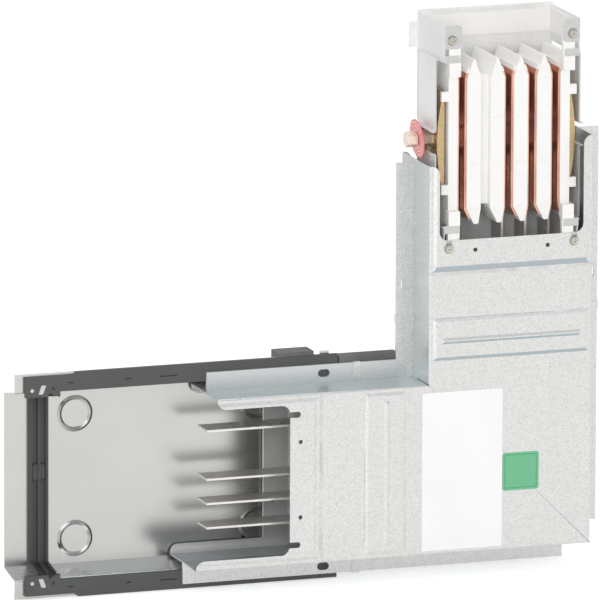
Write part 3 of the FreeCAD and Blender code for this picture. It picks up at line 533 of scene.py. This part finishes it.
def bright_sheet(name, light, wall, gloss):
    """Smooth bright sheet: broad dull patches, a faint rolling grain, slight waves, painted shade on the
    slopes of its rings and painted light on its walls that look up.
    """
    material, tree, shader, place = new_material(name)
    marks = use(tree, handling_marks, Vector=place, Scale=9.0)
    tone = blend(tree, marks["Dull"], opaque(light), shaded(light, 0.94))
    facing = facing_of(tree)
    away = away_from(tree, parts_of(tree, place)["Z"], RUN_LEVEL)
    # Painted shade on the slopes of the pressed rings.
    rings = both(tree, facing["Steep"], maths(tree, "LESS_THAN", away, RING_ZONE))
    tone = blend(tree, rings, tone, shaded(light, 0.82))
    # Painted light on the cover's walls that look up.
    low = both(tree, facing["Top"], maths(tree, "GREATER_THAN", away, RING_ZONE))
    tree.links.new(blend(tree, low, tone, opaque(wall)), shader.inputs["Base Color"])
    roughen(tree, shader, gloss, (marks["Dull"], 0.06), (marks["Streak"], 0.03))
    shader.inputs["Metallic"].default_value = 1.0
    wave = put(tree, "ShaderNodeTexNoise", Vector=place, Scale=160.0, Detail=2.0)
    bump(tree, shader, wave.outputs["Fac"], 0.05, 0.0004)
    return material


def rolled_metal(name, light, dark, gloss, patch_scale, metallic, edge=None, lip=None):
    """Bare rolled strip: streaks, handled patches and, where given, a painted highlight on its cut edges or a
    lacquered lip.
    """
    material, tree, shader, place = new_material(name)
    marks = use(tree, handling_marks, Vector=place, Scale=patch_scale)
    tone = blend(tree, marks["Dull"], opaque(light), opaque(dark))
    axes = parts_of(tree, place)
    shader.inputs["Metallic"].default_value = metallic
    # Painted highlight on faces that look along Y and on the end faces at the bars' free ends.
    if edge:
        facing = parts_of(tree, tree.nodes["Texture Coordinate"].outputs["Normal"])
        along = maths(tree, "GREATER_THAN", maths(tree, "ABSOLUTE", facing["Y"]), 0.7)
        tip = maths(tree, "LESS_THAN", axes["X"], BAR_TIPS)
        end = both(tree, maths(tree, "LESS_THAN", facing["X"], -0.7), tip)
        tone = blend(tree, maths(tree, "MAXIMUM", along, end), tone, opaque(edge))
    if lip:
        coated = maths(tree, "GREATER_THAN", axes["Z"], LIP_START)
        tone = blend(tree, coated, tone, opaque(lip))
        bare = maths(tree, "SUBTRACT", metallic, maths(tree, "MULTIPLY", coated, metallic))
        tree.links.new(bare, shader.inputs["Metallic"])
    tree.links.new(tone, shader.inputs["Base Color"])
    roughen(tree, shader, gloss, (marks["Dull"], 0.08))
    bump(tree, shader, marks["Streak"], 0.01, 0.0001)
    return material


def moulded(name, light, gloss, grain, depth, shade):
    """Moulded polymer or rubber."""
    material, tree, shader, place = new_material(name)
    skin = use(tree, moulded_grain, Vector=place, Grain=grain)
    tone = blend(tree, skin["Shade"], shaded(light, 1 - shade), opaque(light))
    tree.links.new(tone, shader.inputs["Base Color"])
    roughen(tree, shader, gloss, (skin["Height"], 0.16))
    bump(tree, shader, skin["Height"], 0.25, depth)
    return material


def passivated(name, light, pink, thread_pitch=None):
    """Passivated zinc with pink and greenish sheen; a bolt's shank carries its thread."""
    material, tree, shader, place = new_material(name)
    cloud = put(tree, "ShaderNodeTexNoise", Vector=place, Scale=240.0, Detail=6.0).outputs["Fac"]
    sheen = blend(tree, ramp(tree, cloud, 0.44, 0.60), opaque(light), opaque(pink))
    spots = put(tree, "ShaderNodeTexNoise", Vector=place, Scale=330.0, Detail=3.0).outputs["Fac"]
    patches = maths(tree, "MULTIPLY", ramp(tree, spots, 0.5, 0.62), 0.5)
    green = opaque([light[0] * 0.75, light[1] * 1.05, light[2] * 1.1])
    tree.links.new(blend(tree, patches, sheen, green), shader.inputs["Base Color"])
    roughen(tree, shader, 0.20, (cloud, 0.25))
    shader.inputs["Metallic"].default_value = 0.6
    if thread_pitch:
        axes = parts_of(tree, place)
        turns = maths(tree, "DIVIDE", maths(tree, "ARCTAN2", axes["Z"], axes["Y"]), 2 * math.pi)
        along = maths(tree, "DIVIDE", axes["X"], thread_pitch)
        wave = maths(tree, "PINGPONG", maths(tree, "SUBTRACT", along, turns), 0.5)
        shank = maths(tree, "GREATER_THAN", axes["X"], SHANK_START)
        bump(tree, shader, both(tree, wave, shank), 1.0, 0.0007)
    else:
        bump(tree, shader, cloud, 0.08, 0.0002)
    return material


def ringed_tag():
    """Translucent red disc with light rings about its hole."""
    polymer = settings().polymer
    material, tree, shader, place = new_material("red_disc")
    axes = parts_of(tree, place)
    squares = [maths(tree, "MULTIPLY", axes[name], axes[name]) for name in "YZ"]
    radius = maths(tree, "SQRT", maths(tree, "ADD", *squares))
    wave = maths(tree, "PINGPONG", maths(tree, "DIVIDE", radius, polymer.ring_pitch), 0.5)
    spoke = maths(tree, "ARCTAN2", axes["Z"], axes["Y"])
    broken = maths(tree, "PINGPONG", maths(tree, "MULTIPLY", spoke, 2.2), 0.5)
    rings = both(tree, maths(tree, "GREATER_THAN", wave, 0.34), maths(tree, "GREATER_THAN", broken, 0.12))
    rings = both(tree, rings, maths(tree, "GREATER_THAN", radius, polymer.ring_start))
    grain = use(tree, moulded_grain, Vector=place, Grain=900.0)
    tone = blend(tree, rings, opaque(polymer.red), opaque(polymer.red_pale))
    tree.links.new(tone, shader.inputs["Base Color"])
    roughen(tree, shader, 0.22, (grain["Height"], 0.2))
    shader.inputs["Subsurface Weight"].default_value = 0.25
    shader.inputs["Subsurface Radius"].default_value = (0.004, 0.001, 0.001)
    bump(tree, shader, grain["Height"], 0.1, 0.0002)
    return material


def film(name, base, line=None):
    """Plain film, with a printed frame line where its colour, centre and half size are given."""
    material, tree, shader, place = new_material(name)
    grain = use(tree, moulded_grain, Vector=place, Grain=2400.0)
    tone = blend(tree, grain["Shade"], shaded(base, 0.97), opaque(base))
    if line:
        ink, centre, half_size = line
        axes = parts_of(tree, place)
        offsets = [away_from(tree, axes[name], middle) for name, middle in zip("XZ", centre)]
        reach = maths(tree, "DIVIDE", maths(tree, "MAXIMUM", *offsets), half_size)
        inner = maths(tree, "GREATER_THAN", reach, 0.84)
        outer = maths(tree, "LESS_THAN", reach, 0.89)
        tone = blend(tree, both(tree, inner, outer), tone, opaque(ink))
    tree.links.new(tone, shader.inputs["Base Color"])
    roughen(tree, shader, 0.34, (grain["Height"], 0.12))
    bump(tree, shader, grain["Height"], 0.05, 0.0001)
    return material


# Piece building


def finish_nodes(names, material):
    """Give CAD nodes a material in their own slots."""
    for name in names:
        for slot in NODES[name].material_slots:
            slot.material = material


def starting(*prefixes):
    """Names of the CAD nodes that begin with one of the prefixes."""
    return [name for name in NODES if name.startswith(prefixes)]


def piece_from(name, mesh, material, body):
    """Link a finished mesh at the origin, riding on a body."""
    piece = bpy.data.objects.new(name, mesh)
    bpy.context.scene.collection.objects.link(piece)
    mesh.materials.clear()
    mesh.materials.append(material)
    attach(piece, body)
    return piece


def film_mesh(name, centre, width, height, corner, back, thickness, lean=0.0):
    """Thin rounded film on a face that looks to the front, leaning to the right by a part of its height."""
    mesh = bpy.data.meshes.new(name)
    work = bmesh.new()
    steps = 6
    rim = []
    corners = ((1, 1, 0.0), (-1, 1, 90.0), (-1, -1, 180.0), (1, -1, 270.0))
    for side_x, side_z, start in corners:
        middle = Vector((centre[0] + side_x * (width / 2 - corner), 0,
                         centre[1] + side_z * (height / 2 - corner)))
        for k in range(steps + 1):
            angle = math.radians(start + 90.0 * k / steps)
            point = middle + Vector((corner * math.cos(angle), 0, corner * math.sin(angle)))
            rim.append(point + Vector((lean * (point.z - centre[1]), 0, 0)))
    front = [work.verts.new((p.x, back - thickness, p.z)) for p in rim]
    rear = [work.verts.new((p.x, back, p.z)) for p in rim]
    work.faces.new(front)
    work.faces.new(rear[::-1])
    for k in range(len(rim)):
        following = (k + 1) % len(rim)
        work.faces.new((front[following], front[k], rear[k], rear[following]))
    bmesh.ops.recalc_face_normals(work, faces=work.faces)
    work.to_mesh(mesh)
    work.free()
    return mesh


def shape_tree(name, inputs):
    """Geometry nodes tree with its named inputs and one geometry to give."""
    tree = bpy.data.node_groups.new(name, "GeometryNodeTree")
    tree.interface.new_socket("Geometry", in_out="OUTPUT", socket_type="NodeSocketGeometry")
    for socket, kind in inputs:
        tree.interface.new_socket(socket, in_out="INPUT", socket_type="NodeSocket" + kind)
    return tree, tree.nodes.new("NodeGroupInput").outputs


def give(tree, geometry, material):
    """End a tree: the geometry realised, with its material."""
    real = put(tree, "GeometryNodeRealizeInstances", Geometry=geometry)
    paint = put(tree, "GeometryNodeSetMaterial", Geometry=real.outputs["Geometry"], Material=material)
    put(tree, "NodeGroupOutput", Geometry=paint.outputs["Geometry"])
    return tree


def row_tree(name):
    """Geometry nodes: a soft-edged bar repeated along a line."""
    tree, given = shape_tree(name, (("Start", "Vector"), ("Step", "Vector"), ("Count", "Int"),
                                    ("Size", "Vector"), ("Material", "Material")))
    line = put(tree, "GeometryNodeMeshLine", Count=given["Count"], Start_Location=given["Start"],
               Offset=given["Step"])
    bar = put(tree, "GeometryNodeMeshCube", Size=given["Size"])
    soft = put(tree, "GeometryNodeSubdivisionSurface", Mesh=bar.outputs["Mesh"], Level=2, Edge_Crease=0.72)
    copies = put(tree, "GeometryNodeInstanceOnPoints", Points=line.outputs["Mesh"],
                 Instance=soft.outputs["Mesh"])
    return give(tree, copies.outputs["Instances"], given["Material"])


def seam_tree(name):
    """Geometry nodes: a round bead along the edges of the source mesh."""
    tree, given = shape_tree(name, (("Geometry", "Geometry"), ("Radius", "Float"), ("Material", "Material")))
    path = put(tree, "GeometryNodeMeshToCurve", Mesh=given["Geometry"])
    profile = put(tree, "GeometryNodeCurvePrimitiveCircle", Resolution=10, Radius=given["Radius"])
    bead = put(tree, "GeometryNodeCurveToMesh", Curve=path.outputs["Curve"],
               Profile_Curve=profile.outputs["Curve"], Fill_Caps=True)
    return give(tree, bead.outputs["Mesh"], given["Material"])


def grown_mesh(name, tree, values, points=()):
    """Plain mesh made by a geometry nodes tree, from a line of points where given."""
    source = bpy.data.meshes.new(name + "_source")
    source.from_pydata(points, [(k, k + 1) for k in range(len(points) - 1)], [])
    holder = bpy.data.objects.new(name + "_source", source)
    bpy.context.scene.collection.objects.link(holder)
    modifier = holder.modifiers.new("row", "NODES")
    modifier.node_group = tree
    for item in tree.interface.items_tree:
        if item.in_out == "INPUT" and item.name in values:
            modifier[item.identifier] = values[item.name]
    graph = bpy.context.evaluated_depsgraph_get()
    mesh = bpy.data.meshes.new_from_object(holder.evaluated_get(graph))
    holder.modifiers.clear()
    bpy.data.objects.remove(holder)
    mesh.name = name
    return mesh


def joined(name, meshes):
    """One mesh of several."""
    work = bmesh.new()
    for mesh in meshes:
        work.from_mesh(mesh)
    whole = bpy.data.meshes.new(name)
    work.to_mesh(whole)
    work.free()
    return whole


def mitre_point(reach, depth):
    """Point on the mitre, by its reach from the corner towards the inside and its depth."""
    return (-reach, depth, RUN_LEVEL + reach)


# Operators


class BUSWAY_OT_sheet_metal(bpy.types.Operator):
    """Galvanised casing, clips and pack frame, the bright cover sheet, and the weld along the mitre"""
    bl_idname = "busway.sheet_metal"
    bl_label = "Sheet metal"

    def execute(self, context):
        metal = settings().metal
        finish_nodes(["front_casing_run"], leg_sheet("galvanised_run", "X", 0.0, False))
        finish_nodes(["front_casing_riser"], leg_sheet("galvanised_riser", "Z", RUN_LEVEL, True))
        clip = zinc_sheet("galvanised_clip", metal.sheet, metal.sheet_dark, metal.spangle,
                          gloss=0.27, metallic=0.75)
        finish_nodes(["flange_clips"], clip)
        finish_nodes(["rear_casing_run"], rear_sheet("galvanised_rear_run", metal.rear_run, REAR_CUT_REACH))
        finish_nodes(["rear_casing_riser"], rear_sheet("galvanised_rear_riser", metal.rear_riser))
        sides = zinc_sheet("galvanised_frame", metal.frame, metal.frame_dark, metal.spangle,
                           gloss=0.36, metallic=0.3, wall=metal.frame_wall)
        finish_nodes(starting("frame_side"), sides)
        # The frame's rear plates take the pale tone, lightened partly as painted light.
        back_dark = [channel * 0.90 for channel in metal.frame_wall]
        back = zinc_sheet("galvanised_back", metal.frame_wall, back_dark, metal.spangle,
                          gloss=0.40, metallic=0.15)
        finish_nodes(starting("frame_rear"), back)
        cover = bright_sheet("cover_sheet", metal.bright, metal.bright_wall, gloss=0.22)
        finish_nodes(["joint_cover_shell"], cover)
        self.weld_mitre(metal)
        return {"FINISHED"}

    def weld_mitre(self, metal):
        """Dressed weld from the flanges to the labels on either side, and sealant in the inner corner."""
        weld = zinc_sheet("weld_zinc", metal.sheet_dark, metal.drawn, metal.spangle, gloss=0.40, metallic=0.8)
        tree = seam_tree("weld_bead")
        radius = metal.seam_radius
        sink = radius * 0.55
        front, root, half = PANEL_FACE + sink, FLANGE_FACE + sink, HALF_LEG - sink
        lines = (((WELD_FLANGE, root), (half, root), (half, front), (WELD_PLATE, front)),
                 ((WELD_STICKER, front), (-half, front), (-half, root)))
        beads = []
        for line in lines:
            points = [mitre_point(*place) for place in line]
            beads.append(grown_mesh("mitre_weld", tree, {"Radius": radius, "Material": weld}, points))
        piece = piece_from("mitre_weld", joined("mitre_weld", beads), weld, ROOT)
        piece.data.shade_smooth()
        sealant = moulded("corner_sealant", settings().polymer.rubber,
                          gloss=0.5, grain=1500.0, depth=0.0002, shade=0.1)
        points = [mitre_point(half, front), mitre_point(half, SEALANT_END)]
        bead = grown_mesh("corner_sealant", tree, {"Radius": radius * 1.8, "Material": sealant}, points)
        piece_from("corner_sealant", bead, sealant, ROOT).data.shade_smooth()


class BUSWAY_OT_conductors(bpy.types.Operator):
    """Plated bars and copper contact plates"""
    bl_idname = "busway.conductors"
    bl_label = "Bars and contacts"

    def execute(self, context):
        metal = settings().metal
        bar_dark = [channel * 0.9 for channel in metal.bar]
        bar = rolled_metal("plated_bar", metal.bar, bar_dark, gloss=0.26, patch_scale=18.0, metallic=0.4,
                           edge=metal.bar_edge)
        copper = rolled_metal("contact_copper", metal.copper, metal.copper_dark, gloss=0.26,
                              patch_scale=30.0, metallic=0.85, lip=settings().polymer.lip)
        finish_nodes(starting("busbar_"), bar)
        finish_nodes(starting("contact_"), copper)
        return {"FINISHED"}


class BUSWAY_OT_insulation(bpy.types.Operator):
    """White moulded plates, the band, the bolt's sleeve and the combs"""
    bl_idname = "busway.insulation"
    bl_label = "Insulators"

    def execute(self, context):
        polymer = settings().polymer
        white = moulded("white_moulding", polymer.white, gloss=0.34, grain=1600.0, depth=0.0001, shade=0.03)
        comb = moulded("comb_moulding", polymer.support, gloss=0.42, grain=1200.0, depth=0.0001, shade=0.05)
        finish_nodes(starting("phase_insulator", "end_insulator", "blank_spacer"), white)
        finish_nodes(["pack_band", "bolt_sleeve"], white)
        finish_nodes(starting("bar_support"), comb)
        return {"FINISHED"}


class BUSWAY_OT_fasteners(bpy.types.Operator):
    """Yellow passivated plates, nut and washers, the threaded clamp bolt, the screws and the red disc"""
    bl_idname = "busway.fasteners"
    bl_label = "Clamp and screws"

    def execute(self, context):
        metal = settings().metal
        plain = passivated("passivated_steel", metal.passivated, metal.passivated_pink)
        threaded = passivated("passivated_thread", metal.bolt, metal.bolt_pink, metal.thread_pitch)
        screw = zinc_sheet("screw_zinc", metal.screw, metal.screw_dark, metal.screw_grain,
                           gloss=0.14, metallic=1.0)
        finish_nodes(starting("pressure_plate", "clamp_nut", "nut_washer", "bolt_washer"), plain)
        finish_nodes(["clamp_bolt"], threaded)
        finish_nodes(["pack_screws"], screw)
        finish_nodes(["torque_tag"], ringed_tag())
        return {"FINISHED"}


class BUSWAY_OT_seals(bpy.types.Operator):
    """Rubber finishes, the insert of the outer lip seal, and the hooks and rivets of the edge strips"""
    bl_idname = "busway.seals"
    bl_label = "Seals"

    def execute(self, context):
        polymer = settings().polymer
        detail = settings().seals
        strip = moulded("strip_rubber", polymer.strip, gloss=0.50, grain=1500.0, depth=0.0002, shade=0.12)
        rubber = moulded("black_rubber", polymer.rubber, gloss=0.46, grain=1500.0, depth=0.0002, shade=0.15)
        cells = moulded("cellular_rubber", polymer.foam, gloss=0.70, grain=700.0, depth=0.0012, shade=0.35)
        finish_nodes(starting("cover_edge_seal"), strip)
        finish_nodes(starting("cover_lip_seal"), rubber)
        finish_nodes(["cover_foam_block", "casing_seal_bar"], cells)
        self.insert_in_seal(detail, rubber)
        self.fasten_strips(detail)
        return {"FINISHED"}

    def insert_in_seal(self, detail, rubber):
        """Plain piece between two ridges, half way along the outer lip seal."""
        low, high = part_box("cover_lip_seal_open")
        tree = row_tree("insert_row")
        across = (low[0] + high[0]) / 2
        rows = ((0.0, 1, detail.insert_height, 0.0),
                (-detail.insert_height / 2, 2, detail.ridge, detail.ridge))
        bars = []
        for offset, count, height, proud in rows:
            depth = detail.insert_depth + proud
            bars.append(grown_mesh("lip_seal_insert", tree, {
                "Start": (across, high[1] - depth / 2, detail.insert_middle + offset),
                "Step": (0.0, 0.0, detail.insert_height), "Count": count, "Material": rubber,
                "Size": (detail.insert_width, depth, height)}))
        piece_from("lip_seal_insert", joined("lip_seal_insert", bars), rubber, COVER)

    def fasten_strips(self, detail):
        """Bright hook and rivet in the slot and the hole at the outer end of each strip."""
        metal = settings().metal
        bright = zinc_sheet("hook_zinc", metal.frame, metal.frame_dark, metal.spangle,
                            gloss=0.30, metallic=0.5)
        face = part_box("cover_edge_seal_upper")[0][1]
        rivet = detail.rivet_width
        fittings = []
        for side in (1, -1):
            slot, hole = [(x, RUN_LEVEL + side * away) for x, away in (HOOK_PLACE, RIVET_PLACE)]
            fittings.append(film_mesh("hook", slot, detail.hook_width, detail.hook_height, detail.hook_corner,
                                      face, detail.fitting, side * detail.hook_lean))
            fittings.append(film_mesh("rivet", hole, rivet, rivet, rivet * 0.499, face, detail.fitting))
        piece_from("strip_fittings", joined("strip_fittings", fittings), bright, COVER)


class BUSWAY_OT_labels(bpy.types.Operator):
    """Blank white plate and plain green sticker on the front of the corner"""
    bl_idname = "busway.labels"
    bl_label = "Blank labels"

    def execute(self, context):
        sizes = settings().labels
        line = (sizes.frame_colour, sizes.sticker_centre, sizes.sticker_side / 2)
        white = film("white_film", sizes.plate_colour)
        green = film("green_film", sizes.sticker_colour, line)
        plate = film_mesh("blank_plate", sizes.plate_centre, sizes.plate_width, sizes.plate_height,
                          sizes.plate_corner, PANEL_FACE, sizes.thickness)
        sticker = film_mesh("green_sticker", sizes.sticker_centre, sizes.sticker_side, sizes.sticker_side,
                            sizes.sticker_corner, PANEL_FACE, sizes.thickness)
        piece_from("blank_plate", plate, white, ROOT)
        piece_from("green_sticker", sticker, green, ROOT)
        return {"FINISHED"}


def seen_directly(tree):
    """1 for rays from the camera and for what metal and clear pieces show, otherwise 0."""
    path = tree.nodes.new("ShaderNodeLightPath").outputs
    shown = maths(tree, "MAXIMUM", path["Is Camera Ray"], path["Is Glossy Ray"])
    return maths(tree, "MAXIMUM", shown, path["Is Transmission Ray"])


class BUSWAY_OT_studio(bpy.types.Operator):
    """Pale floor, soft lamps, white surroundings and the camera"""
    bl_idname = "busway.studio"
    bl_label = "Studio"

    def execute(self, context):
        studio = settings().studio
        self.make_floor(studio)
        self.make_world(context.scene, studio)
        self.make_lamps()
        self.make_camera(context.scene, studio)
        context.scene.view_settings.view_transform = "Standard"
        return {"FINISHED"}

    def make_floor(self, studio):
        size = studio.floor_size
        level = CAD_BOX[0][2] - studio.floor_gap
        mesh = bpy.data.meshes.new("floor")
        corners = [(-size, -size, level), (size, -size, level), (size, size, level), (-size, size, level)]
        mesh.from_pydata(corners, [], [(0, 1, 2, 3)])
        floor = bpy.data.objects.new("floor", mesh)
        bpy.context.scene.collection.objects.link(floor)
        material, tree, shader, place = new_material("pale_floor")
        grain = use(tree, moulded_grain, Vector=place, Grain=300.0)
        tone = blend(tree, grain["Shade"], shaded(studio.floor, 0.995), opaque(studio.floor))
        tree.links.new(tone, shader.inputs["Base Color"])
        shader.inputs["Roughness"].default_value = 0.9
        shader.inputs["Emission Color"].default_value = (1, 1, 1, 1)
        glow = maths(tree, "MULTIPLY", seen_directly(tree), studio.floor_glow)
        tree.links.new(glow, shader.inputs["Emission Strength"])
        mesh.materials.append(material)

    def make_world(self, scene, studio):
        """White, and greyer overhead where metal shows it, so that folded sheet has its faces apart."""
        world = bpy.data.worlds.new("studio")
        world.use_nodes = True
        scene.world = world
        tree = world.node_tree
        light = tree.nodes["Background"]
        seen = seen_directly(tree)
        strength = put(tree, "ShaderNodeMapRange", Value=seen, To_Min=studio.ambient, To_Max=1.0)
        rise = parts_of(tree, tree.nodes.new("ShaderNodeTexCoord").outputs["Generated"])["Z"]
        overhead = both(tree, ramp(tree, rise, 0.15, 0.85), seen)
        tree.links.new(blend(tree, overhead, (1, 1, 1, 1), opaque(studio.overhead)), light.inputs["Color"])
        tree.links.new(strength.outputs["Result"], light.inputs["Strength"])

    def make_lamps(self):
        """Soft lamps by their place from the camera's target, their size and their power."""
        middle = Vector(settings().studio.target)
        lamps = (("key", (-1.3, -1.9, 1.5), 1.6, 12.0), ("fill", (1.8, -1.5, 0.7), 1.8, 6.0),
                 ("front", (-1.0, -2.8, 0.75), 1.0, 22.0), ("top", (0.2, 0.3, 2.4), 1.2, 14.0))
        for name, place, size, power in lamps:
            data = bpy.data.lights.new(name, "AREA")
            data.size = size
            data.energy = power
            lamp = bpy.data.objects.new(name, data)
            bpy.context.scene.collection.objects.link(lamp)
            lamp.location = middle + Vector(place)
            lamp.rotation_euler = (-Vector(place)).to_track_quat("-Z", "Y").to_euler()

    def make_camera(self, scene, studio):
        turn, rise, roll = studio.azimuth, studio.elevation, studio.roll
        ahead = Vector((math.sin(turn) * math.cos(rise), math.cos(turn) * math.cos(rise), -math.sin(rise)))
        side = Vector((math.cos(turn), -math.sin(turn), 0))
        upward = side.cross(ahead)
        right = side * math.cos(roll) + upward * math.sin(roll)
        top = upward * math.cos(roll) - side * math.sin(roll)
        data = bpy.data.cameras.new("camera")
        data.sensor_width = 36.0
        data.lens = studio.focal * data.sensor_width
        camera = bpy.data.objects.new("camera", data)
        scene.collection.objects.link(camera)
        turned = Matrix((right, top, -ahead)).transposed().to_4x4()
        camera.matrix_world = Matrix.Translation(Vector(studio.target) - ahead * studio.distance) @ turned
        scene.camera = camera


OPERATORS = (BUSWAY_OT_sheet_metal, BUSWAY_OT_conductors, BUSWAY_OT_insulation, BUSWAY_OT_fasteners,
             BUSWAY_OT_seals, BUSWAY_OT_labels, BUSWAY_OT_studio)


class BUSWAY_PT_panel(bpy.types.Panel):
    """Steps of the elbow's dressing"""
    bl_idname = "BUSWAY_PT_panel"
    bl_label = "Busway elbow"
    bl_space_type = "VIEW_3D"
    bl_region_type = "UI"
    bl_category = "Elbow"

    def draw(self, context):
        for operator in OPERATORS:
            self.layout.operator(operator.bl_idname)


GROUPS = (MetalFinish, PolymerFinish, LabelSizes, SealDetail, StudioSetting, ElbowSettings)


def register():
    for item in GROUPS + OPERATORS + (BUSWAY_PT_panel,):
        bpy.utils.register_class(item)
    bpy.types.Scene.busway_elbow = PointerProperty(type=ElbowSettings)


def unregister():
    del bpy.types.Scene.busway_elbow
    for item in reversed(GROUPS + OPERATORS + (BUSWAY_PT_panel,)):
        bpy.utils.unregister_class(item)


def main():
    register()
    bpy.ops.busway.sheet_metal()
    bpy.ops.busway.conductors()
    bpy.ops.busway.insulation()
    bpy.ops.busway.fasteners()
    bpy.ops.busway.seals()
    bpy.ops.busway.labels()
    bpy.ops.busway.studio()


if __name__ == "__main__":
    main()
